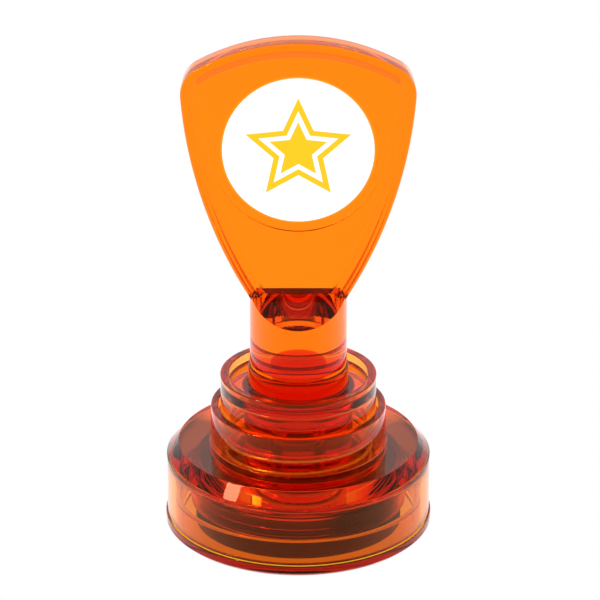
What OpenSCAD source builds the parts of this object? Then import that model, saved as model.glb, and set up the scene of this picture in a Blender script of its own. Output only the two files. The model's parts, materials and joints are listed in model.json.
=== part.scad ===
// Pre-inked hand stamp in clear orange plastic.
// A flat paddle handle stands on a sprung plunger. The plunger slides in the collar of a round
// housing and carries a foam-backed printing die. A dust cap plugs the housing from below.
// Millimetres, +Z up. The origin is the middle of the dust cap's underside.

/* [Housing] */
// Outer diameter of the housing wall
base_d = 34; // [32:0.5:44]
// Height of the housing, from its lower edge to its flat top
base_h = 9.65; // [9:0.05:14]
// Thickness of the housing wall
base_wall = 1.02; // [0.8:0.02:1.6]
// Thickness of the flat top
roof_t = 2.6; // [0.8:0.05:3]
// Width of the bevel round the flat top
bevel_w = 1.57; // [0.8:0.01:2]
// Height of the bevel
bevel_h = 1.75; // [1:0.05:2.4]

/* [Collar] */
// Height of the collar above the flat top
collar_h = 5.07; // [4:0.01:7]
// Thickness of the collar wall at its rim
collar_wall = 0.92; // [0.7:0.02:1.6]
// How much wider the collar is at its foot, for mould release
collar_draft = 0.14; // [0:0.02:0.3]
// Thickness of the spring seat at the foot of the guide tube
seat_t = 1.0; // [0.8:0.05:2]

/* [Plunger] */
// Outer diameter of the plunger's skirt and cup
plunger_d = 20; // [18:0.5:24]
// Thickness of the skirt wall
skirt_wall = 1.07; // [0.8:0.01:1.6]
// Height of the cup's rim above the collar
rim_rise = 4.29; // [3:0.01:6]
// Depth of the dish inside the cup's rim
dish_depth = 1.28; // [0.8:0.02:2.4]
// Thickness of the web under the dish
web_t = 1.02; // [0.8:0.02:1.6]
// Length of the skirt below the web
skirt_l = 5.08; // [4:0.02:6]
// Diameter of the hub that the handle stands on
hub_d = 12.8; // [11:0.1:15.4]
// Height of the hub above the dish
hub_h = 2.6; // [1.5:0.1:4]
// Diameter of the rod below the web
rod_d = 14; // [11.5:0.1:16.8]
// Diameter of the blind core in the rod
core_d = 4.3; // [3.5:0.1:5.6]
// Depth of the core left empty above the pad holder's peg
core_spare = 2; // [1:0.5:4]
// Diameter of the pin that enters the handle
pin_d = 4.4; // [3.5:0.1:5.3]
// Straight length of that pin below its domed end
pin_l = 0.6; // [0.3:0.1:2]

/* [Handle] */
// Height of the handle above the hub
handle_h = 43.5; // [38:0.1:53]
// Diameter of the stem
stem_d = 12.4; // [11:0.1:15]
// Greatest width of the paddle's side arcs
paddle_w = 29.48; // [26:0.1:36]
// Thickness of the paddle at its border
paddle_t = 4.0; // [3.2:0.1:5]
// Radius of the paddle's top edge
top_r = 25.8; // [22:0.1:32]
// Radius of the two shoulders
shoulder_r = 4.0; // [3:0.1:6]
// Radius of the two sides
side_r = 60.7; // [52:0.1:75]
// Depth of the level where the side arcs are widest, below the top
side_drop = 2.65; // [1:0.05:6]
// Width of the border's flat
border_flat = 0.95; // [0.6:0.05:1.5]
// Width of the slope from the border down to the field
border_slope = 0.9; // [0.5:0.05:1.5]
// Depth of the field on each face
field_depth = 0.6; // [0.3:0.05:1]
// Angle of the scoops where the stem runs into the paddle
scoop_angle = 33; // [25:1:50]

/* [Label] */
// Depth of the label's centre below the handle's top
label_drop = 14.1; // [13:0.1:17]
// Clear field left at each side of the label's recess
label_margin = 1.0; // [0.6:0.1:2.5]
// Width of the bare ring round the label
label_ring = 1.3; // [0.5:0.1:2]
// Depth of the label's recess
label_recess = 0.3; // [0.2:0.05:0.6]
// Thickness of the label
label_t = 0.15; // [0.1:0.05:0.3]

/* [Printing pad] */
// Thickness of the ink foam
foam_t = 1.55; // [1:0.05:2.5]
// Thickness of the die's flange
die_t = 0.8; // [0.6:0.05:1.2]
// Height of the star on the die
relief = 0.7; // [0.5:0.05:1]
// Thickness of the pad holder's plate
holder_t = 1.0; // [0.8:0.05:1.6]
// Thickness of the pad holder's rim
holder_wall = 0.5; // [0.4:0.05:0.8]
// Thickness of the clamp frame's wall
frame_wall = 0.6; // [0.5:0.05:1]
// Thickness of the clamp frame's lip under the die
frame_lip_t = 0.4; // [0.3:0.05:0.6]
// Width of that lip inside the die's edge
frame_lip_w = 0.8; // [0.5:0.05:1.2]
// Height of the peg on the pad holder
peg_h = 5.0; // [3:0.1:7]

/* [Dust cap] */
// Height of the cap's flange
cap_h = 1.4; // [1.2:0.05:2]
// How far the flange stands out past the housing wall
cap_lip = 0.2; // [0:0.05:0.5]
// Chamfer round the cap's lower edge
cap_chamfer = 0.38; // [0.2:0.02:0.6]
// Thickness of the cap's floor
cap_floor = 0.85; // [0.7:0.05:1.2]
// Height of the spigot above the flange
spigot_h = 2.96; // [2:0.02:4]
// Thickness of the spigot
spigot_wall = 0.7; // [0.5:0.05:2]
// Thickness of the liner in the cap
liner_t = 0.45; // [0.3:0.05:0.5]

/* [Spring] */
// Diameter of the spring wire
wire_d = 0.5; // [0.4:0.05:0.6]
// Number of coils
coils = 3.5; // [3:0.5:4.5]

/* [Fits] */
// How far the plunger travels down
stroke = 1.85; // [1.2:0.05:2.2]
// How far the pressed die passes the housing's lower edge
print_over = 0.05; // [0:0.05:0.1]
// Gap round the plunger's skirt
skirt_gap = 0.3; // [0.15:0.05:0.4]
// Gap round the rod in the spring seat
rod_gap = 0.1; // [0.05:0.01:0.2]
// Gap round the cap's spigot
spigot_gap = 0.08; // [0.03:0.01:0.1]
// Gap between the clamp frame and the cap's spigot
frame_gap = 1.3; // [0.3:0.05:1.6]
// Gap between two fitted pieces that are pressed together
fit_gap = 0.03; // [0.01:0.01:0.05]
// Gap left where two faces meet at a stop
face_gap = 0.1; // [0.05:0.05:0.2]
// Gap between the cap's flange and the housing
seam_gap = 0.05; // [0.02:0.01:0.1]

/* [Hidden] */
$fn = 96;
eps = 0.01;

// Colours
amber = [0.80, 0.38, 0.08, 0.55];
orange = [1.00, 0.42, 0.02, 0.65];
ink_dark = [0.10, 0.07, 0.07];

// Radii, from the housing inwards
base_r = base_d / 2;
inner_r = base_r - base_wall;
spigot_r = inner_r - spigot_gap;
spigot_in_r = spigot_r - spigot_wall;
frame_r = spigot_in_r - frame_gap;
holder_r = frame_r - frame_wall - fit_gap;
pad_r = holder_r - holder_wall - fit_gap;
lip_in_r = pad_r - frame_lip_w;
liner_r = spigot_in_r - frame_gap - frame_wall;

// Radii of the moving column
plunger_r = plunger_d / 2;
skirt_in_r = plunger_r - skirt_wall;
guide_r = plunger_r + skirt_gap;
collar_r = guide_r + collar_wall;
hub_r = hub_d / 2;
rod_r = rod_d / 2;
core_r = core_d / 2;
pin_r = pin_d / 2;
stem_r = stem_d / 2;
spring_r = (plunger_r + skirt_in_r) / 2;

// Heights of the housing and cap
edge_z = cap_h + seam_gap;
top_z = edge_z + base_h;
roof_z = top_z - roof_t;
rim_z = top_z + collar_h;
spigot_z = cap_h + spigot_h;

// Height at which the housing's inner corner must start to slope so that the bevel keeps the
// wall's thickness. A thick roof ends below it and has a square corner.
bevel_l = norm([bevel_w, bevel_h]);
slope_z = top_z - bevel_h + (bevel_h - bevel_l) * base_wall / bevel_w;

// Heights of the printing pad, set by where the pressed die must reach
die_z = edge_z - print_over + stroke;
flange_z = die_z + relief;
foam_z = flange_z + die_t;
holder_z = foam_z + foam_t;
plate_z = holder_z + holder_t;
lip_z = flange_z - fit_gap - frame_lip_t;

// Heights of the guide tube, the spring and the plunger
tube_z = plate_z + face_gap;
seat_z = tube_z + seat_t;
cup_z = rim_z + rim_rise;
dish_z = cup_z - dish_depth;
web_z = dish_z - web_t;
skirt_z = web_z - skirt_l;
hub_z = dish_z + hub_h;
dome_z = hub_z + pin_l;
core_z = plate_z + peg_h + core_spare;

// The handle
paddle_top_z = hub_z + handle_h;
side_z = paddle_top_z - side_drop;
side_x = paddle_w / 2 - side_r;
neck_z = side_z - sqrt(side_r * side_r - pow(stem_r - side_x, 2));
scoop_low_z = neck_z - (stem_r - paddle_t / 2) * tan(scoop_angle);
field_y = paddle_t / 2 - field_depth;
scoop_top_z = scoop_low_z + (stem_r - field_y) * tan(scoop_angle);

// The label
label_z = paddle_top_z - label_drop;
label_side = side_x + sqrt(pow(side_r - border_flat - border_slope, 2) - pow(side_z - label_z, 2));
recess_r = label_side - label_margin;
label_r = recess_r - label_ring;
recess_y = field_y - label_recess;

// Points on an arc about c, from angle a to angle b
function arc(c, r, a, b, n) = [for (i = [0:n]) let (t = a + (b - a) * i / n) c + r * [cos(t), sin(t)]];

// Half of the paddle's outline, moved inwards by d. The side, shoulder and top arcs are tangent.
function half_outline(d) =
    let (side_c = [side_x, side_z],
         top_c = [0, paddle_top_z - top_r],
         a = side_r - shoulder_r,
         b = top_r - shoulder_r,
         gap = norm(top_c - side_c),
         along = (a * a - b * b + gap * gap) / (2 * gap),
         off = sqrt(a * a - along * along),
         u = (top_c - side_c) / gap,
         corner = side_c + along * u + off * [-u[1], u[0]],
         low = -asin((side_z - neck_z) / (side_r - d)),
         mid = atan2(corner[1] - side_c[1], corner[0] - side_c[0]),
         high = atan2(corner[1] - top_c[1], corner[0] - top_c[0]))
    concat(arc(side_c, side_r - d, low, mid, 24),
           arc(corner, shoulder_r - d, mid, high, 10),
           arc(top_c, top_r - d, high, 90, 14));

module paddle_outline(d = 0) {
    half = half_outline(d);
    mirrored = [for (i = [len(half) - 2:-1:0]) [-half[i][0], half[i][1]]];
    polygon(concat(half, mirrored));
}

// A slab of the paddle's outline, moved inwards by d, between two depths along Y
module paddle_slab(d, y0, y1) {
    translate([0, y1, 0]) rotate([90, 0, 0]) linear_extrude(y1 - y0) paddle_outline(d);
}

// The bevelled pocket that leaves the border standing on the front face
module field_pocket() {
    outer_y = paddle_t / 2;
    hull() {
        paddle_slab(border_flat, -outer_y - eps, -outer_y);
        paddle_slab(border_flat + border_slope, -field_y - eps, -field_y);
    }
}

module star(tip, n = 5) {
    inner = tip * 0.47;
    polygon([for (i = [0:2 * n - 1])
        let (r = i % 2 == 0 ? tip : inner, t = 90 + i * 180 / n) r * [cos(t), sin(t)]]);
}

module star_mark(size) {
    difference() {
        star(0.73 * size);
        star(0.55 * size);
    }
    star(0.40 * size);
}

module ring(r_out, r_in, z0, z1) {
    translate([0, 0, z0]) difference() {
        cylinder(r = r_out, h = z1 - z0);
        translate([0, 0, -eps]) cylinder(r = r_in, h = z1 - z0 + 2 * eps);
    }
}

module dust_cap() {
    flange_r = base_r + cap_lip;
    color(amber) rotate_extrude() polygon([
        [0, 0], [flange_r - cap_chamfer, 0], [flange_r, cap_chamfer], [flange_r, cap_h],
        [spigot_r, cap_h], [spigot_r, spigot_z], [spigot_in_r, spigot_z],
        [spigot_in_r, cap_floor], [0, cap_floor]]);
}

module cap_liner() {
    color(ink_dark) translate([0, 0, cap_floor]) cylinder(r = liner_r, h = liner_t);
}

module housing() {
    collar_foot_r = collar_r + collar_draft;
    slope_r = inner_r - (roof_z - slope_z) * bevel_w / bevel_h;
    corner = roof_z > slope_z ? [[slope_r, roof_z], [inner_r, slope_z]] : [[inner_r, roof_z]];
    color(amber) rotate_extrude() polygon(concat([
        [inner_r, edge_z], [base_r, edge_z], [base_r, top_z - bevel_h], [base_r - bevel_w, top_z],
        [collar_foot_r, top_z], [collar_r, rim_z], [guide_r, rim_z], [guide_r, seat_z],
        [rod_r + rod_gap, seat_z], [rod_r + rod_gap, tube_z], [collar_r, tube_z],
        [collar_r, roof_z]], corner));
}

// Height of the wire's centre after so many turns, with a closed coil at each end
function coil_rise(turn) =
    let (dead = 0.75, pitch = wire_d * 1.04, span = skirt_z - seat_z - wire_d,
         active = span - 2 * dead * pitch, free_turns = coils - 2 * dead)
    turn < dead ? turn * pitch
    : turn > coils - dead ? span - (coils - turn) * pitch
    : dead * pitch + (turn - dead) / free_turns * active;

module return_spring() {
    sides = 10;
    steps = 32 * coils;
    points = [for (i = [0:steps], k = [0:sides - 1])
        let (turn = i / 32, a = 360 * turn, b = 360 * k / sides,
             r = spring_r + wire_d / 2 * cos(b))
        [r * cos(a), r * sin(a), seat_z + wire_d / 2 + coil_rise(turn) + wire_d / 2 * sin(b)]];
    walls = [for (i = [0:steps - 1], k = [0:sides - 1])
        [i * sides + k, i * sides + (k + 1) % sides,
         (i + 1) * sides + (k + 1) % sides, (i + 1) * sides + k]];
    start = [for (k = [sides - 1:-1:0]) k];
    end = [for (k = [0:sides - 1]) steps * sides + k];
    color("silver") polyhedron(points, concat(walls, [start, end]));
}

// The handle's pin, or its socket in the stem when there is a gap round it
module domed_pin(gap = 0) {
    translate([0, 0, hub_z - eps]) cylinder(r = pin_r + gap, h = pin_l + eps);
    translate([0, 0, dome_z]) sphere(r = pin_r + gap);
}

module plunger() {
    color(orange) domed_pin();
    color(orange) difference() {
        rotate_extrude() polygon([
            [0, plate_z], [rod_r, plate_z], [rod_r, web_z], [skirt_in_r, web_z],
            [skirt_in_r, skirt_z], [plunger_r, skirt_z], [plunger_r, cup_z], [skirt_in_r, cup_z],
            [skirt_in_r, dish_z], [hub_r, dish_z], [hub_r, hub_z], [0, hub_z]]);
        translate([0, 0, plate_z - eps]) cylinder(r = core_r, h = core_z - plate_z + eps);
    }
}

// The stem, roofed by the front and back scoops
module stem() {
    intersection() {
        translate([0, 0, hub_z]) cylinder(r = stem_r, h = scoop_top_z - hub_z);
        rotate([90, 0, 90]) translate([0, 0, -stem_r]) linear_extrude(2 * stem_r) polygon([
            [-stem_r, hub_z], [stem_r, hub_z], [stem_r, scoop_low_z], [field_y, scoop_top_z],
            [-field_y, scoop_top_z], [-stem_r, scoop_low_z]]);
    }
}

module handle() {
    color(orange) difference() {
        union() {
            difference() {
                paddle_slab(0, -paddle_t / 2, paddle_t / 2);
                field_pocket();
                mirror([0, 1, 0]) field_pocket();
            }
            stem();
        }
        translate([0, -recess_y, label_z]) rotate([90, 0, 0]) cylinder(r = recess_r, h = 1);
        domed_pin(fit_gap);
    }
}

module front_label() {
    color("white") translate([0, -recess_y, label_z]) rotate([90, 0, 0])
        cylinder(r = label_r, h = label_t);
}

module pad_holder() {
    color(amber) union() {
        translate([0, 0, holder_z]) cylinder(r = holder_r, h = holder_t);
        ring(holder_r, pad_r + fit_gap, foam_z, holder_z + eps);
        translate([0, 0, plate_z - eps]) cylinder(r = core_r - fit_gap, h = peg_h + eps);
    }
}

module ink_foam() {
    color(ink_dark) translate([0, 0, foam_z]) cylinder(r = pad_r, h = foam_t);
}

module stamp_die() {
    color([0.16, 0.10, 0.10]) union() {
        translate([0, 0, flange_z]) cylinder(r = pad_r, h = die_t);
        translate([0, 0, die_z]) mirror([1, 0, 0]) linear_extrude(relief + eps)
            star_mark(lip_in_r - fit_gap);
    }
}

module clamp_frame() {
    color(amber) union() {
        ring(frame_r, holder_r + fit_gap, lip_z, holder_z);
        ring(frame_r, lip_in_r, lip_z, lip_z + frame_lip_t);
    }
}

dust_cap();
cap_liner();
housing();
return_spring();
plunger();
handle();
front_label();
pad_holder();
ink_foam();
stamp_die();
clamp_frame();
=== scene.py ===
# A clear orange pre-inked hand stamp, standing on its dust cap. Metres, +Z up, label towards -Y.
import json
import math

import bmesh
import bpy
from mathutils import Matrix, Vector
from mathutils.geometry import delaunay_2d_cdt


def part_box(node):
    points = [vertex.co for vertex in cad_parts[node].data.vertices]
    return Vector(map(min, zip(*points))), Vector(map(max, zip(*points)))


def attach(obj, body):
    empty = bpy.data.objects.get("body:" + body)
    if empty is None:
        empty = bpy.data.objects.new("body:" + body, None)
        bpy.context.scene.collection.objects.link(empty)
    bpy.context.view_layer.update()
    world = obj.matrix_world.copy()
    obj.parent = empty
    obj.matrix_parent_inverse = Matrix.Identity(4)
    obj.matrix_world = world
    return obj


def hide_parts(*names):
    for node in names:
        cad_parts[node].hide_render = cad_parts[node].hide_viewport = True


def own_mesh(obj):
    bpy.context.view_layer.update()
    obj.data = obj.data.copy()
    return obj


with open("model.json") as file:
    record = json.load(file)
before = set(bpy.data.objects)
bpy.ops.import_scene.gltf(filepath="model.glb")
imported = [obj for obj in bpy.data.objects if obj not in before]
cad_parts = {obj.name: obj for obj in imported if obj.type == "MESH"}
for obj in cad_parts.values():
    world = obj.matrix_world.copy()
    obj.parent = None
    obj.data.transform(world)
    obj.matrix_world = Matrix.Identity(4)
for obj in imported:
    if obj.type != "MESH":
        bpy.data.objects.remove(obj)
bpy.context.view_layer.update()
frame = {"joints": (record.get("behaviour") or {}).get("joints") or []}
MM = 0.001


# Dust cap: a shallow clear amber moulding with a flange to grip and a spigot that plugs the
# housing from below. It is turned here as one closed outline, with its edges rounded as moulded.
CAP_LOW, CAP_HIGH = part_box("dust_cap")
CAP_R = min(CAP_HIGH.x, -CAP_LOW.x)
SPIGOT_R = 15.90 * MM
SPIGOT_WALL = 0.70 * MM
CAP_FLANGE_Z = 1.40 * MM
CAP_FLOOR_Z = 0.85 * MM
CAP_CHAMFER = 0.38 * MM
TURN_STEPS = 192


def rounded(corners, closed=False, steps=5):
    """The outline through (r, z, radius) corners, with each radius as an arc held by close points."""
    hold = 0.03 * MM
    points = []
    count = len(corners)
    for i, (r, z, radius) in enumerate(corners):
        here = Vector((r, z))
        if radius == 0 or (not closed and i in (0, count - 1)):
            points.append(here)
            continue
        before = (Vector(corners[i - 1][:2]) - here).normalized()
        after = (Vector(corners[(i + 1) % count][:2]) - here).normalized()
        half = before.angle(after) / 2
        reach = radius / math.tan(half)
        centre = here + (before + after).normalized() * (radius / math.sin(half))
        first, last = here + before * reach, here + after * reach
        points.append(first + before * hold)
        a = first - centre
        sweep = a.angle_signed(last - centre)
        for k in range(steps + 1):
            points.append(centre + Matrix.Rotation(-sweep * k / steps, 2) @ a)
        points.append(last + after * hold)
    return points


def as_piece(name, mesh, material, sharp_degrees=35):
    """Links a finished mesh as an object, smooth except where it turns sharply."""
    mesh.polygons.foreach_set("use_smooth", [True] * len(mesh.polygons))
    mesh.set_sharp_from_angle(angle=math.radians(sharp_degrees))
    if material:
        mesh.materials.append(material)
    piece = bpy.data.objects.new(name, mesh)
    bpy.context.scene.collection.objects.link(piece)
    return piece


def turned_mesh(name, outline, closed=False, steps=TURN_STEPS):
    """A closed solid of revolution about Z. An open outline starts and ends on the axis."""
    bm = bmesh.new()
    rings = []
    for r, z in outline:
        if r < 1e-7:
            rings.append([bm.verts.new((0, 0, z))])
            continue
        angles = [2 * math.pi * k / steps for k in range(steps)]
        rings.append([bm.verts.new((r * math.cos(a), r * math.sin(a), z)) for a in angles])
    pairs = list(zip(rings, rings[1:]))
    if closed:
        pairs.append((rings[-1], rings[0]))
    for low, high in pairs:
        for k in range(steps):
            n = (k + 1) % steps
            around = [low[k % len(low)], low[n % len(low)], high[n % len(high)], high[k % len(high)]]
            around = list(dict.fromkeys(around))
            if len(around) > 2:
                bm.faces.new(around)
    bmesh.ops.recalc_face_normals(bm, faces=bm.faces)
    mesh = bpy.data.meshes.new(name)
    bm.to_mesh(mesh)
    bm.free()
    return mesh


class Signal:
    """A shader socket that Python arithmetic can be written on."""

    def __init__(self, tree, socket):
        self.tree = tree
        self.socket = socket

    def _math(self, operation, first, second):
        math_node = self.tree.nodes.new("ShaderNodeMath")
        math_node.operation = operation
        for slot, value in zip(math_node.inputs, (first, second)):
            if isinstance(value, Signal):
                self.tree.links.new(value.socket, slot)
            else:
                slot.default_value = value
        return Signal(self.tree, math_node.outputs[0])

    def __add__(self, other):
        return self._math("ADD", self, other)

    __radd__ = __add__

    def __mul__(self, other):
        return self._math("MULTIPLY", self, other)

    __rmul__ = __mul__

    def __sub__(self, other):
        return self._math("SUBTRACT", self, other)

    def __rsub__(self, other):
        return self._math("SUBTRACT", other, self)


class Finish:
    """A material whose nodes are added by one method."""

    def __init__(self, name):
        self.material = bpy.data.materials.new(name)
        self.material.use_nodes = True
        self.tree = self.material.node_tree
        self.tree.nodes.clear()

    def node(self, kind, settings=None, inputs=None, output=0):
        made = self.tree.nodes.new(kind)
        for key, value in (settings or {}).items():
            if key == "stops":
                for stop, (place, colour) in zip(made.color_ramp.elements, value):
                    stop.position = place
                    stop.color = colour
            else:
                setattr(made, key, value)
        for key, value in (inputs or {}).items():
            if isinstance(value, Signal):
                self.tree.links.new(value.socket, made.inputs[key])
            else:
                made.inputs[key].default_value = value
        return Signal(self.tree, made.outputs[output]) if made.outputs else None


def clear_plastic(name, tint, dye, density, wave=0.5, smudge=0.02, shade_patches=(), bonded=()):
    """Polished clear plastic: a surface tint, a dye that deepens with thickness, faint moulding waves.

    Each shade patch is (centre, reach, colour, ragged): an egg-shaped zone of painted shade, where the
    surface colour is replaced.
    Each bonded zone is (centre, reach, colour): pressed so tight that light goes straight through."""
    finish = Finish(name)
    place = finish.node("ShaderNodeTexCoord", output="Object")
    smears = finish.node("ShaderNodeTexNoise", inputs={"Vector": place, "Scale": 260.0, "Detail": 4.0})
    waves = finish.node("ShaderNodeTexNoise", inputs={"Vector": place, "Scale": 150.0, "Detail": 1.0})
    bump = finish.node("ShaderNodeBump", inputs={"Height": waves, "Strength": wave, "Distance": 0.00004})
    colour = (*tint, 1)

    def zone(centre, reach, ragged):
        off = finish.node("ShaderNodeVectorMath", {"operation": "SUBTRACT"}, {0: place, 1: centre})
        eggs = finish.node("ShaderNodeVectorMath", {"operation": "DIVIDE"}, {0: off, 1: reach})
        away = finish.node("ShaderNodeVectorMath", {"operation": "LENGTH"}, {0: eggs}, "Value")
        return finish.node("ShaderNodeMapRange", inputs={
            "Value": away + (smears - 0.5) * ragged, "From Min": 0.97 - 0.4 * ragged,
            "From Max": 1.03 + 0.4 * ragged, "To Min": 1.0, "To Max": 0.0})

    # Each shade patch paints shade into the surface colour.
    for centre, reach, other, ragged in shade_patches:
        colour = finish.node("ShaderNodeMix", {"data_type": "RGBA"}, {
            "Factor": zone(centre, reach, ragged), "A": colour, "B": (*other, 1)}, "Result")
    surface = finish.node("ShaderNodeBsdfPrincipled", inputs={
        "Base Color": colour, "Roughness": smears * smudge + 0.004, "Normal": bump,
        "Transmission Weight": 1.0, "IOR": 1.53, "Specular Tint": (0.42, 0.20, 0.09, 1)})
    for centre, reach, other in bonded:
        straight = finish.node("ShaderNodeBsdfTransparent", inputs={"Color": (*other, 1)})
        surface = finish.node("ShaderNodeMixShader", inputs={
            "Fac": zone(centre, reach, 0.0), 1: surface, 2: straight})
    inside = finish.node("ShaderNodeVolumeAbsorption", inputs={"Color": (*dye, 1), "Density": density})
    finish.node("ShaderNodeOutputMaterial", inputs={"Surface": surface, "Volume": inside})
    return finish.material


cap_plastic = clear_plastic("cap_plastic", (0.86, 0.60, 0.06), (0.96, 0.72, 0.05), 600)
cap_outline = rounded([
    (0, 0, 0), (CAP_R - CAP_CHAMFER, 0, 0.15 * MM), (CAP_R, CAP_CHAMFER, 0.15 * MM),
    (CAP_R, CAP_FLANGE_Z, 0.1 * MM), (SPIGOT_R, CAP_FLANGE_Z, 0.05 * MM),
    (SPIGOT_R, CAP_HIGH.z, 0.2 * MM), (SPIGOT_R - SPIGOT_WALL, CAP_HIGH.z, 0.2 * MM),
    (SPIGOT_R - SPIGOT_WALL, CAP_FLOOR_Z, 0.3 * MM), (0, CAP_FLOOR_Z, 0)])
cap = as_piece("cap_shell", turned_mesh("cap_shell", cap_outline), cap_plastic)
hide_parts("dust_cap")
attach(cap, "cap_body")


# Cap liner: a thin ink-stained felt disc laid on the cap's floor to keep the die from drying.
liner_low, liner_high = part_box("cap_liner")


def inked(name, colour, grain, roughness):
    """A matte, ink-stained surface with fibres or pores."""
    finish = Finish(name)
    place = finish.node("ShaderNodeTexCoord", output="Object")
    fibres = finish.node("ShaderNodeTexNoise", inputs={"Vector": place, "Scale": grain, "Detail": 8.0})
    stain = finish.node("ShaderNodeTexNoise", inputs={"Vector": place, "Scale": 180.0, "Detail": 3.0})
    shade = finish.node("ShaderNodeMix", {"data_type": "RGBA"}, {
        "Factor": stain, "A": (*[c * 0.6 for c in colour], 1), "B": (*[min(1, c * 1.5) for c in colour], 1)},
        output="Result")
    bump = finish.node("ShaderNodeBump", inputs={"Height": fibres, "Strength": 0.7, "Distance": 0.0001})
    surface = finish.node("ShaderNodeBsdfPrincipled", inputs={
        "Base Color": shade, "Roughness": fibres * 0.3 + roughness, "Normal": bump})
    finish.node("ShaderNodeOutputMaterial", inputs={"Surface": surface})
    return finish.material


liner_felt = inked("liner_felt", (0.030, 0.012, 0.010), 2500.0, 0.7)
AIR = 0.02 * MM  # left between clear faces that would otherwise lie in one plane
liner_outline = rounded([
    (0, liner_low.z + AIR, 0), (liner_high.x, liner_low.z + AIR, 0.08 * MM),
    (liner_high.x, liner_high.z, 0.12 * MM),
    (0, liner_high.z, 0)])
liner = as_piece("felt_disc", turned_mesh("felt_disc", liner_outline), liner_felt)
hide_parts("cap_liner")
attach(liner, "cap_body")


# Housing: wall, bevel, flat top, collar and guide tube in one clear amber moulding.
HOUSE_LOW, HOUSE_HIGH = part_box("housing")
WALL_R = HOUSE_HIGH.x
WALL_IN_R = WALL_R - 1.02 * MM
TOP_Z = 11.10 * MM
ROOF_Z = TOP_Z - 2.60 * MM
BEVEL_W = 1.57 * MM
BEVEL_H = 1.75 * MM
GUIDE_R = 10.30 * MM
COLLAR_R = 11.22 * MM
COLLAR_FOOT_R = 11.36 * MM
SEAT_Z = 8.40 * MM
TUBE_Z = 7.40 * MM
SEAT_HOLE_R = 7.10 * MM
# Dark patches painted under the flat top at left and right are painted shade: they stand for the shaded floor
# behind, seen through the top.
PAINTED_SHADE_COLOUR = (0.05, 0.026, 0.020)
ROOF_PAINTED_SHADE = [((side * 13.6 * MM, 1.5 * MM, ROOF_Z), (4.2 * MM, 8.5 * MM, 1.6 * MM), PAINTED_SHADE_COLOUR, 0.7)
             for side in (-1, 1)]
housing_plastic = clear_plastic("housing_plastic", (0.95, 0.53, 0.12), (0.97, 0.57, 0.05), 520,
                                shade_patches=ROOF_PAINTED_SHADE)
house_outline = rounded([
    (WALL_IN_R, HOUSE_LOW.z, 0.1 * MM), (WALL_R, HOUSE_LOW.z, 0.12 * MM), (WALL_R, TOP_Z - BEVEL_H, 0.2 * MM),
    (WALL_R - BEVEL_W, TOP_Z, 0.2 * MM), (COLLAR_FOOT_R, TOP_Z, 0.15 * MM),
    (COLLAR_R, HOUSE_HIGH.z, 0.15 * MM), (GUIDE_R, HOUSE_HIGH.z, 0.15 * MM), (GUIDE_R, SEAT_Z, 0.2 * MM),
    (SEAT_HOLE_R, SEAT_Z, 0.1 * MM), (SEAT_HOLE_R, TUBE_Z, 0.1 * MM), (COLLAR_R, TUBE_Z, 0.15 * MM),
    (COLLAR_R, ROOF_Z, 0.3 * MM), (WALL_IN_R, ROOF_Z, 0.3 * MM)], closed=True)
house = as_piece("housing_shell", turned_mesh("housing_shell", house_outline, closed=True), housing_plastic)
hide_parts("housing")
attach(house, "housing_body")


# Return spring: bright steel wire wound as an open coil with a closed turn at each end. It stands
# on the housing's seat and pushes the plunger's skirt up.
SPRING_TREE_INPUTS = {
    "Coil Radius": 9.465 * MM, "Wire Diameter": 0.5 * MM, "Turns": 3.5, "Dead Turns": 0.75,
    "Foot Height": SEAT_Z, "Free Length": 4.68 * MM}
SPRING_POINTS = 337


def steel(name):
    """Drawn steel wire with faint scores and a light film."""
    finish = Finish(name)
    place = finish.node("ShaderNodeTexCoord", output="Object")
    scores = finish.node("ShaderNodeTexNoise", inputs={"Vector": place, "Scale": 4000.0, "Detail": 4.0})
    film = finish.node("ShaderNodeTexNoise", inputs={"Vector": place, "Scale": 600.0, "Detail": 2.0})
    shade = finish.node("ShaderNodeMix", {"data_type": "RGBA"}, {
        "Factor": film, "A": (0.50, 0.48, 0.45, 1), "B": (0.72, 0.71, 0.69, 1)}, "Result")
    bump = finish.node("ShaderNodeBump", inputs={"Height": scores, "Strength": 0.3, "Distance": 0.00002})
    surface = finish.node("ShaderNodeBsdfPrincipled", inputs={
        "Base Color": shade, "Metallic": 1.0, "Roughness": film * 0.2 + 0.15, "Normal": bump})
    finish.node("ShaderNodeOutputMaterial", inputs={"Surface": surface})
    return finish.material


class Field(Signal):
    """Arithmetic on a geometry tree's sockets, with sine and cosine."""

    def sine(self):
        return self._math("SINE", self, 0.0)

    def cosine(self):
        return self._math("COSINE", self, 0.0)


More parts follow.
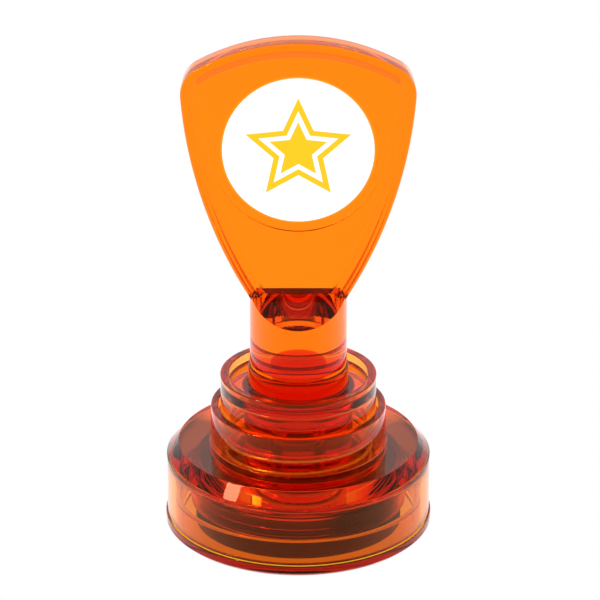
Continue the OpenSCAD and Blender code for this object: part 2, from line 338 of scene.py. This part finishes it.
def coil_tree(inputs, finish):
    """A tree that bends a row of points into the coil and runs the wire along it."""
    tree = bpy.data.node_groups.new("coil", "GeometryNodeTree")
    for name, value in inputs.items():
        tree.interface.new_socket(name, in_out="INPUT", socket_type="NodeSocketFloat").default_value = value
    tree.interface.new_socket("Geometry", in_out="OUTPUT", socket_type="NodeSocketGeometry")

    def node(kind, links=None, output=0, **settings):
        made = tree.nodes.new(kind)
        for key, value in settings.items():
            setattr(made, key, value)
        for key, value in (links or {}).items():
            if isinstance(value, Signal):
                tree.links.new(value.socket, made.inputs[key])
            else:
                made.inputs[key].default_value = value
        return Field(tree, made.outputs[output]) if made.outputs else None

    given = tree.nodes.new("NodeGroupInput")
    radius, wire, turns, dead, foot, free = (Field(tree, given.outputs[name]) for name in inputs)
    count = SPRING_POINTS - 1
    index = node("GeometryNodeInputIndex")
    turn = index * (1 / count) * turns
    pitch = wire * 1.04
    span = free - wire
    opened = node("ShaderNodeMapRange", {"Value": turn, 1: dead, 2: turns - dead})
    height = turn * pitch + opened * (span - turns * pitch) + foot + wire * 0.5
    angle = turn * (2 * math.pi)
    along = Field(tree, angle.socket)
    spot = node("ShaderNodeCombineXYZ", {
        "X": Field(tree, along.cosine().socket) * radius, "Y": Field(tree, along.sine().socket) * radius,
        "Z": height})
    row = node("GeometryNodeMeshLine", {"Count": SPRING_POINTS})
    bent = node("GeometryNodeSetPosition", {"Geometry": row, "Position": spot})
    path = node("GeometryNodeMeshToCurve", {"Mesh": bent})
    section = node("GeometryNodeCurvePrimitiveCircle", {"Radius": wire * 0.5, "Resolution": 16})
    swept = node("GeometryNodeCurveToMesh", {"Curve": path, "Profile Curve": section, "Fill Caps": True})
    whole = node("GeometryNodeRealizeInstances", {"Geometry": swept})
    smooth = node("GeometryNodeSetShadeSmooth", {"Geometry": whole})
    finished = node("GeometryNodeSetMaterial", {"Geometry": smooth, "Material": finish})
    out = tree.nodes.new("NodeGroupOutput")
    tree.links.new(finished.socket, out.inputs[0])
    return tree


def grown(name, tree, inputs):
    """The tree's result as a plain mesh object with no modifier left on it."""
    piece = bpy.data.objects.new(name, bpy.data.meshes.new(name))
    bpy.context.scene.collection.objects.link(piece)
    step = piece.modifiers.new("grown", "NODES")
    step.node_group = tree
    for item in tree.interface.items_tree:
        if item.in_out == "INPUT":
            step[item.identifier] = inputs[item.name]
    made = bpy.data.meshes.new_from_object(piece.evaluated_get(bpy.context.evaluated_depsgraph_get()))
    piece.modifiers.remove(step)
    piece.data = made
    return piece


spring_steel = steel("spring_steel")
spring = grown("return_coil", coil_tree(SPRING_TREE_INPUTS, spring_steel), SPRING_TREE_INPUTS)
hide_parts("return_spring")
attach(spring, "housing_body")
STROKE = next(j for j in frame["joints"] if j["name"] == "press")["range_m"][1]
SPRING_LENGTH = SPRING_TREE_INPUTS["Free Length"]
(SPRING_LENGTH - STROKE) / SPRING_LENGTH
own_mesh(spring)


# Plunger: cup, dish, skirt, hub, rod and the domed pin that enters the handle, one clear moulding.
PLUNGE_LOW, PLUNGE_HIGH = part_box("plunger")
CUP_R = PLUNGE_HIGH.x
CUP_IN_R = CUP_R - 1.07 * MM
CUP_Z = 20.46 * MM
DISH_Z = CUP_Z - 1.28 * MM
WEB_Z = DISH_Z - 1.02 * MM
SKIRT_Z = WEB_Z - 5.08 * MM
HUB_R = 6.40 * MM
HUB_Z = DISH_Z + 2.60 * MM
ROD_R = 7.00 * MM
CORE_R = 2.15 * MM
CORE_Z = PLUNGE_LOW.z + 7.00 * MM
PIN_R = 2.20 * MM
DOME_Z = HUB_Z + 0.60 * MM


def quarter(r, z, steps=10):
    """A quarter arc from the wall of a round end to its pole on the axis."""
    return [Vector((r * math.cos(t), z + r * math.sin(t)))
            for t in (math.pi / 2 * k / steps for k in range(1, steps + 1))]


# Light passes straight through where the handle's foot is bonded to the hub, and its socket to the pin.
FOOT_BOND = ((0, 0, HUB_Z), (4.9 * MM, 4.9 * MM, 0.5 * MM), (1.0, 0.94, 0.88))
PIN_BOND = ((0, 0, HUB_Z + 1.5 * MM), (2.9 * MM, 2.9 * MM, 2.2 * MM), (0.93, 0.72, 0.70))
plunger_plastic = clear_plastic("plunger_plastic", (0.94, 0.52, 0.15), (0.94, 0.52, 0.03), 520,
                                bonded=[FOOT_BOND, PIN_BOND])
plunge_outline = rounded([
    (0, CORE_Z, 0), (CORE_R, CORE_Z, 0.5 * MM), (CORE_R, PLUNGE_LOW.z, 0.1 * MM),
    (ROD_R, PLUNGE_LOW.z, 0.15 * MM), (ROD_R, WEB_Z, 0.3 * MM), (CUP_IN_R, WEB_Z, 0.3 * MM),
    (CUP_IN_R, SKIRT_Z, 0.15 * MM), (CUP_R, SKIRT_Z, 0.15 * MM),
    (CUP_R, CUP_Z, 0.15 * MM), (CUP_IN_R, CUP_Z, 0.15 * MM), (CUP_IN_R, DISH_Z, 0.25 * MM),
    (HUB_R, DISH_Z, 0.25 * MM), (HUB_R, HUB_Z, 0.1 * MM), (PIN_R, HUB_Z, 0.05 * MM), (PIN_R, DOME_Z, 0)])
plunge_outline += quarter(PIN_R, DOME_Z)
plunge = as_piece("plunger_shell", turned_mesh("plunger_shell", plunge_outline), plunger_plastic)
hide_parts("plunger")
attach(plunge, "plunger_body")


# Pad holder: a clear amber cup whose peg is pressed into the rod's core. Its rim takes the foam.
HOLDER_LOW, HOLDER_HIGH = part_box("pad_holder")
FOAM_LOW, FOAM_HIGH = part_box("ink_foam")
PEG_R = CORE_R - 0.03 * MM
PLATE_Z = PLUNGE_LOW.z - AIR
# A dark patch painted on the holder's right front is painted shade, not an ink stain.
HOLDER_PAINTED_SHADE = ((8.0 * MM, -10.0 * MM, 6.2 * MM), (4.6 * MM, 4.6 * MM, 4.6 * MM), (0.05, 0.016, 0.010), 0.8)
holder_plastic = clear_plastic("holder_plastic", (0.90, 0.36, 0.16), (0.96, 0.50, 0.05), 520,
                               shade_patches=[HOLDER_PAINTED_SHADE])
holder_in_r = FOAM_HIGH.x + 0.03 * MM
holder_outline = rounded([
    (0, FOAM_HIGH.z, 0), (holder_in_r, FOAM_HIGH.z, 0.1 * MM), (holder_in_r, HOLDER_LOW.z, 0.06 * MM),
    (HOLDER_HIGH.x, HOLDER_LOW.z, 0.1 * MM), (HOLDER_HIGH.x, PLATE_Z, 0.2 * MM),
    (PEG_R, PLATE_Z, 0.15 * MM), (PEG_R, HOLDER_HIGH.z, 0.3 * MM), (0, HOLDER_HIGH.z, 0)])
holder = as_piece("holder_cup", turned_mesh("holder_cup", holder_outline), holder_plastic)
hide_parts("pad_holder")
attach(holder, "plunger_body")


# Ink foam: an open-cell disc soaked with dark ink, filling the holder's cup above the die.
ink_foam = inked("ink_foam", (0.022, 0.012, 0.012), 3200.0, 0.55)
foam_outline = rounded([
    (0, FOAM_LOW.z + AIR, 0), (FOAM_HIGH.x - AIR, FOAM_LOW.z + AIR, 0.2 * MM),
    (FOAM_HIGH.x - AIR, FOAM_HIGH.z - AIR, 0.2 * MM), (0, FOAM_HIGH.z - AIR, 0)])
foam = as_piece("foam_disc", turned_mesh("foam_disc", foam_outline), ink_foam)
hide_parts("ink_foam")
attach(foam, "plunger_body")


# Stamp die: microporous rubber, made in one sheet, with the star standing up to print.
DIE_LOW, DIE_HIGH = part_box("stamp_die")
DIE_FLANGE = 0.8 * MM
STAR_SIZES = (0.73, 0.55, 0.40)
STAR_WAIST = 0.47
DIE_STAR = 11.91 * MM


def star_points(tip):
    return [Vector((r * math.cos(t), r * math.sin(t)))
            for r, t in ((tip * (1 if k % 2 == 0 else STAR_WAIST), math.pi / 2 + k * math.pi / 5)
                         for k in range(10))]


def prism(name, outline, low_z, high_z):
    """An upright slab of a flat outline."""
    bm = bmesh.new()
    levels = [[bm.verts.new((p.x, p.y, z)) for p in outline] for z in (low_z, high_z)]
    count = len(outline)
    for k in range(count):
        n = (k + 1) % count
        bm.faces.new((levels[0][k], levels[0][n], levels[1][n], levels[1][k]))
    for level in levels:
        bm.faces.new(level)
    bmesh.ops.recalc_face_normals(bm, faces=bm.faces)
    mesh = bpy.data.meshes.new(name)
    bm.to_mesh(mesh)
    bm.free()
    return hidden_tool(name, mesh)


def hidden_tool(name, mesh):
    tool = bpy.data.objects.new(name, mesh)
    bpy.context.scene.collection.objects.link(tool)
    return tool


def combined(base, operation, tool):
    """base after a boolean with tool, as a plain mesh. The tool is removed."""
    step = base.modifiers.new("cut", "BOOLEAN")
    step.operation = operation
    step.solver = "EXACT"
    step.object = tool
    result = bpy.data.meshes.new_from_object(base.evaluated_get(bpy.context.evaluated_depsgraph_get()))
    base.modifiers.remove(step)
    base.data = result
    bpy.data.objects.remove(tool)
    return base


die_rubber = inked("die_rubber", (0.050, 0.022, 0.020), 5200.0, 0.5)
flange_z = DIE_HIGH.z - DIE_FLANGE
stand_z = flange_z + 0.05 * MM
die = prism("rubber_die", star_points(DIE_STAR * STAR_SIZES[0]), DIE_LOW.z, stand_z)
combined(die, "DIFFERENCE", prism("gap", star_points(DIE_STAR * STAR_SIZES[1]), DIE_LOW.z - MM, flange_z))
combined(die, "UNION", prism("core", star_points(DIE_STAR * STAR_SIZES[2]), DIE_LOW.z, stand_z))
combined(die, "UNION", hidden_tool("flange", turned_mesh("flange", rounded([
    (0, flange_z, 0), (FOAM_HIGH.x - AIR, flange_z, 0.08 * MM),
    (FOAM_HIGH.x - AIR, DIE_HIGH.z, 0.08 * MM), (0, DIE_HIGH.z, 0)]))))
die.data.materials.clear()
die.data.materials.append(die_rubber)
die.data.polygons.foreach_set("use_smooth", [True] * len(die.data.polygons))
die.data.set_sharp_from_angle(angle=math.radians(30))
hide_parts("stamp_die")
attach(die, "plunger_body")


# Clamp frame: a clear amber ring pressed over the holder. Its lip holds the die's flange.
CLAMP_LOW, CLAMP_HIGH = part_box("clamp_frame")
CLAMP_WALL = 0.60 * MM
CLAMP_LIP_T = 0.40 * MM
CLAMP_LIP_R = 11.94 * MM
clamp_in_r = CLAMP_HIGH.x - CLAMP_WALL
lip_top_z = CLAMP_LOW.z + CLAMP_LIP_T
clamp_outline = rounded([
    (clamp_in_r, CLAMP_HIGH.z, 0.08 * MM), (CLAMP_HIGH.x, CLAMP_HIGH.z, 0.12 * MM),
    (CLAMP_HIGH.x, CLAMP_LOW.z, 0.15 * MM), (CLAMP_LIP_R, CLAMP_LOW.z, 0.1 * MM),
    (CLAMP_LIP_R, lip_top_z, 0.1 * MM), (clamp_in_r, lip_top_z, 0.05 * MM)], closed=True)
clamp = as_piece("clamp_ring", turned_mesh("clamp_ring", clamp_outline, closed=True), holder_plastic)
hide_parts("clamp_frame")
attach(clamp, "plunger_body")


# Handle: a flat paddle with a raised border on a round stem, one clear orange moulding.
HANDLE_LOW, HANDLE_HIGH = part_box("handle")
STEM_R = HANDLE_HIGH.y
HALF_T = 2.00 * MM
FIELD_Y = HALF_T - 0.60 * MM
BORDER = 0.95 * MM
SLOPE = 0.90 * MM
TOP_R = 25.8 * MM
SHOULDER_R = 4.0 * MM
SIDE_R = 60.7 * MM
SIDE_Z = HANDLE_HIGH.z - 2.65 * MM
SIDE_X = 14.74 * MM - SIDE_R
NECK_Z = SIDE_Z - math.sqrt(SIDE_R**2 - (STEM_R - SIDE_X) ** 2)
SCOOP_TAN = math.tan(math.radians(33))
SCOOP_Z = NECK_Z - (STEM_R - HALF_T) * SCOOP_TAN
LABEL_Z = HANDLE_HIGH.z - 14.1 * MM
RECESS_R = (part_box("front_label")[1].x) + 1.3 * MM
RECESS_DEPTH = 0.3 * MM
LABEL_BOND_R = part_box("front_label")[1].x
PIN_GAP = 0.03 * MM


def arc_points(centre, radius, a, b, count):
    return [Vector(centre) + radius * Vector((math.cos(t), math.sin(t)))
            for t in (a + (b - a) * k / count for k in range(count + 1))]


def paddle_outline(inset, foot_z):
    """The paddle's outline moved inwards: tangent side, shoulder and top arcs, mirrored."""
    side_c, top_c = Vector((SIDE_X, SIDE_Z)), Vector((0, HANDLE_HIGH.z - TOP_R))
    a, b, gap = SIDE_R - SHOULDER_R, TOP_R - SHOULDER_R, (top_c - side_c).length
    along = (a * a - b * b + gap * gap) / (2 * gap)
    u = (top_c - side_c) / gap
    corner = side_c + along * u + math.sqrt(a * a - along * along) * Vector((-u.y, u.x))
    low = -math.asin((SIDE_Z - foot_z) / (SIDE_R - inset))
    mid = math.atan2(corner.y - side_c.y, corner.x - side_c.x)
    high = math.atan2(corner.y - top_c.y, corner.x - top_c.x)
    half = arc_points(side_c, SIDE_R - inset, low, mid, 60)
    half += arc_points(corner, SHOULDER_R - inset, mid, high, 20)[1:]
    half += arc_points(top_c, TOP_R - inset, high, math.pi / 2, 30)[1:]
    return half + [Vector((-p.x, p.y)) for p in reversed(half[:-1])]


def paddle_mesh():
    """Outlines lofted from the back field, over the border, round the edge and down to the front."""
    edge = 0.45 * MM
    half = [(BORDER + SLOPE + 0.25 * MM, FIELD_Y), (BORDER + SLOPE + 0.10 * MM, FIELD_Y + 0.01 * MM),
            (BORDER + SLOPE - 0.08 * MM, FIELD_Y + 0.07 * MM),
            (BORDER + 0.10 * MM, HALF_T - 0.06 * MM), (BORDER - 0.06 * MM, HALF_T - 0.01 * MM),
            (BORDER - 0.2 * MM, HALF_T), (edge + 0.03 * MM, HALF_T)]
    half += [(edge * (1 - math.sin(t)), HALF_T - edge * (1 - math.cos(t)))
             for t in (math.pi / 2 * k / 6 for k in range(7))]
    levels = half + [(d, -y) for d, y in reversed(half)]
    bm = bmesh.new()
    rings = [[bm.verts.new((p.x, y, p.y)) for p in paddle_outline(d, 29.6 * MM)] for d, y in levels]
    for one, two in zip(rings, rings[1:]):
        for k in range(len(one)):
            n = (k + 1) % len(one)
            bm.faces.new((one[k], one[n], two[n], two[k]))
    bm.faces.new(rings[0])
    bm.faces.new(list(reversed(rings[-1])))
    bmesh.ops.recalc_face_normals(bm, faces=bm.faces)
    mesh = bpy.data.meshes.new("paddle")
    bm.to_mesh(mesh)
    bm.free()
    return mesh


def stem_mesh():
    """The round stem, roofed by the front and back scoops."""
    ridge = SCOOP_Z + STEM_R * SCOOP_TAN
    mesh = turned_mesh("stem", rounded([
        (0, HANDLE_LOW.z + AIR, 0), (STEM_R, HANDLE_LOW.z + AIR, 0.1 * MM),
        (STEM_R, ridge, 0), (0, ridge, 0)]))
    bm = bmesh.new()
    bm.from_mesh(mesh)
    for side in (-1, 1):
        everything = bm.verts[:] + bm.edges[:] + bm.faces[:]
        bmesh.ops.bisect_plane(bm, geom=everything, plane_co=(0, side * STEM_R, SCOOP_Z),
                               plane_no=(0, side * SCOOP_TAN, 1), clear_outer=True)
        rim = [e for e in bm.edges if e.is_boundary]
        bmesh.ops.contextual_create(bm, geom=rim)
    bmesh.ops.recalc_face_normals(bm, faces=bm.faces)
    bm.to_mesh(mesh)
    bm.free()
    return mesh


SOCKET_R = PIN_R + PIN_GAP
FLAT_AREA = 20 * MM * MM  # faces larger than this are truly flat and aren't smoothed
# The label's glue leaves no air behind it, so its back shows evenly through the handle.
LABEL_BOND = ((0, -FIELD_Y + RECESS_DEPTH, LABEL_Z), (LABEL_BOND_R, 0.25 * MM, LABEL_BOND_R), (1.0, 1.0, 1.0))
handle_plastic = clear_plastic("handle_plastic", (0.995, 0.205, 0.002), (0.998, 0.82, 0.30), 160,
                               bonded=[FOOT_BOND, PIN_BOND, LABEL_BOND])
handle = hidden_tool("handle_shell", paddle_mesh())
combined(handle, "UNION", hidden_tool("stem", stem_mesh()))
socket = [Vector((0, HANDLE_LOW.z - MM)), Vector((SOCKET_R, HANDLE_LOW.z - MM)), Vector((SOCKET_R, DOME_Z))]
socket += quarter(SOCKET_R, DOME_Z)
combined(handle, "DIFFERENCE", hidden_tool("socket", turned_mesh("socket", socket, steps=96)))
recess = turned_mesh("recess", rounded([
    (0, 0, 0), (RECESS_R, 0, 0.12 * MM), (RECESS_R + 0.05 * MM, 2 * MM, 0), (0, 2 * MM, 0)], steps=4),
    steps=160)
recess.transform(Matrix.Translation((0, -FIELD_Y + RECESS_DEPTH, LABEL_Z))
                 @ Matrix.Rotation(math.pi / 2, 4, "X"))
combined(handle, "DIFFERENCE", hidden_tool("recess", recess))
handle.data.materials.clear()
handle.data.materials.append(handle_plastic)
handle.data.polygons.foreach_set("use_smooth", [face.area < FLAT_AREA for face in handle.data.polygons])
handle.data.set_sharp_from_angle(angle=math.radians(30))
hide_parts("handle")
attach(handle, "plunger_body")


# Front label: a round white film sticker printed with a yellow star inside a yellow outline.
LABEL_LOW, LABEL_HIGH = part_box("front_label")
LABEL_R = LABEL_HIGH.x


def inside(point, outline):
    hit = False
    for a, b in zip(outline, outline[1:] + outline[:1]):
        if (a.y > point.y) != (b.y > point.y) and point.x < (b.x - a.x) * (point.y - a.y) / (b.y - a.y) + a.x:
            hit = not hit
    return hit


def printed(name, colour):
    """Printed film: an even colour with a faint orange-peel gloss."""
    finish = Finish(name)
    place = finish.node("ShaderNodeTexCoord", output="Object")
    peel = finish.node("ShaderNodeTexNoise", inputs={"Vector": place, "Scale": 1800.0, "Detail": 3.0})
    bump = finish.node("ShaderNodeBump", inputs={"Height": peel, "Strength": 0.15, "Distance": 0.00003})
    surface = finish.node("ShaderNodeBsdfPrincipled", inputs={
        "Base Color": (*colour, 1), "Roughness": peel * 0.15 + 0.35, "Normal": bump,
        "Specular IOR Level": 0.2})
    finish.node("ShaderNodeOutputMaterial", inputs={"Surface": surface})
    return finish.material


label_white = printed("label_white", (0.93, 0.93, 0.93))
label_yellow = printed("label_yellow", (1.0, 0.51, 0.002))
stars = [star_points(LABEL_R * s) for s in STAR_SIZES]
face_r = LABEL_R - 0.04 * MM
circle = arc_points((0, 0), face_r, 0, 2 * math.pi * 119 / 120, 119)
loops = [circle] + stars
flat_points, flat_edges = [], []
for loop in loops:
    start = len(flat_points)
    flat_points += loop
    flat_edges += [(start + k, start + (k + 1) % len(loop)) for k in range(len(loop))]
cut = delaunay_2d_cdt(flat_points, flat_edges, [], 0, 1e-9)
bm = bmesh.new()
front_y = LABEL_LOW.y
face_verts = [bm.verts.new((p.x, front_y, LABEL_Z + p.y)) for p in cut[0]]
for tri in cut[2]:
    middle = sum((cut[0][k] for k in tri), Vector((0, 0))) / 3
    if middle.length < face_r:
        face = bm.faces.new([face_verts[k] for k in tri])
        ringed = sum(inside(middle, star) for star in stars)
        face.material_index = 1 if ringed in (1, 3) else 0
bm.edges.ensure_lookup_table()
rim = [e for e in bm.edges if e.is_boundary]
for out_r, y in ((LABEL_R, front_y + 0.03 * MM), (LABEL_R, LABEL_HIGH.y), (0, LABEL_HIGH.y)):
    grown = bmesh.ops.extrude_edge_only(bm, edges=rim)["geom"]
    for v in (g for g in grown if isinstance(g, bmesh.types.BMVert)):
        flat = Vector((v.co.x, v.co.z - LABEL_Z)).normalized() * out_r
        v.co = (flat.x, y, LABEL_Z + flat.y)
    rim = [g for g in grown if isinstance(g, bmesh.types.BMEdge) and g.is_boundary]
bmesh.ops.remove_doubles(bm, verts=bm.verts, dist=1e-7)
bmesh.ops.recalc_face_normals(bm, faces=bm.faces)
label_mesh = bpy.data.meshes.new("label")
bm.to_mesh(label_mesh)
bm.free()
label_mesh.materials.append(label_white)
label_mesh.materials.append(label_yellow)
label = as_piece("star_label", label_mesh, None)
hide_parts("front_label")
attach(label, "plunger_body")


# Studio: a pale floor that hides nothing below it, a bright even surround and one soft lamp.
floor_mesh = bpy.data.meshes.new("floor")
floor_mesh.from_pydata([(-3, -3, -AIR), (3, -3, -AIR), (3, 3, -AIR), (-3, 3, -AIR)], [], [(0, 1, 2, 3)])
floor = bpy.data.objects.new("floor", floor_mesh)
bpy.context.scene.collection.objects.link(floor)
floor_finish = Finish("floor_white")
floor_surface = floor_finish.node("ShaderNodeBsdfPrincipled", inputs={
    "Base Color": (0.3, 0.3, 0.3, 1), "Roughness": 0.9, "Specular IOR Level": 0.0,
    "Emission Color": (1, 1, 1, 1), "Emission Strength": 0.95})
floor_finish.node("ShaderNodeOutputMaterial", inputs={"Surface": floor_surface})
floor_mesh.materials.append(floor_finish.material)
floor.visible_camera = False


def softbox(name, direction, distance, width, height, radiance):
    """A soft lamp that faces the stamp."""
    lamp = bpy.data.lights.new(name, "AREA")
    lamp.shape = "RECTANGLE"
    lamp.size, lamp.size_y = width, height
    lamp.energy = radiance * math.pi * width * height
    lamp_object = bpy.data.objects.new(name, lamp)
    bpy.context.scene.collection.objects.link(lamp_object)
    aim = Vector(direction).normalized()
    lamp_object.location = Vector((0, 0, 15 * MM)) + aim * distance
    lamp_object.rotation_euler = (-aim).to_track_quat("-Z", "Y").to_euler()


softbox("left_softbox", (-0.624, -0.197, 0.754), 0.5, 0.10, 0.14, 28.0)
world = bpy.data.worlds.new("studio")
world.use_nodes = True
world.node_tree.nodes["Background"].inputs["Color"].default_value = (1, 1, 1, 1)
world.node_tree.nodes["Background"].inputs["Strength"].default_value = 1.0
scene = bpy.context.scene
scene.world = world
scene.view_settings.view_transform = "Standard"
scene.cycles.max_bounces = 40
scene.cycles.transmission_bounces = 40
scene.cycles.transparent_max_bounces = 16
scene.cycles.glossy_bounces = 12
scene.cycles.diffuse_bounces = 4

camera = bpy.data.cameras.new("camera")
camera.lens = 198
camera.sensor_width = 36
camera.shift_x = 0.0028
camera.clip_start = 0.01
camera_object = bpy.data.objects.new("camera", camera)
scene.collection.objects.link(camera_object)
elevation = math.radians(23.25)
back = Vector((0, -math.cos(elevation), math.sin(elevation)))
camera_object.location = Vector((0, 0, 30.49 * MM)) + back * 418.6 * MM
camera_object.rotation_euler = (-back).to_track_quat("-Z", "Y").to_euler()
scene.camera = camera_object
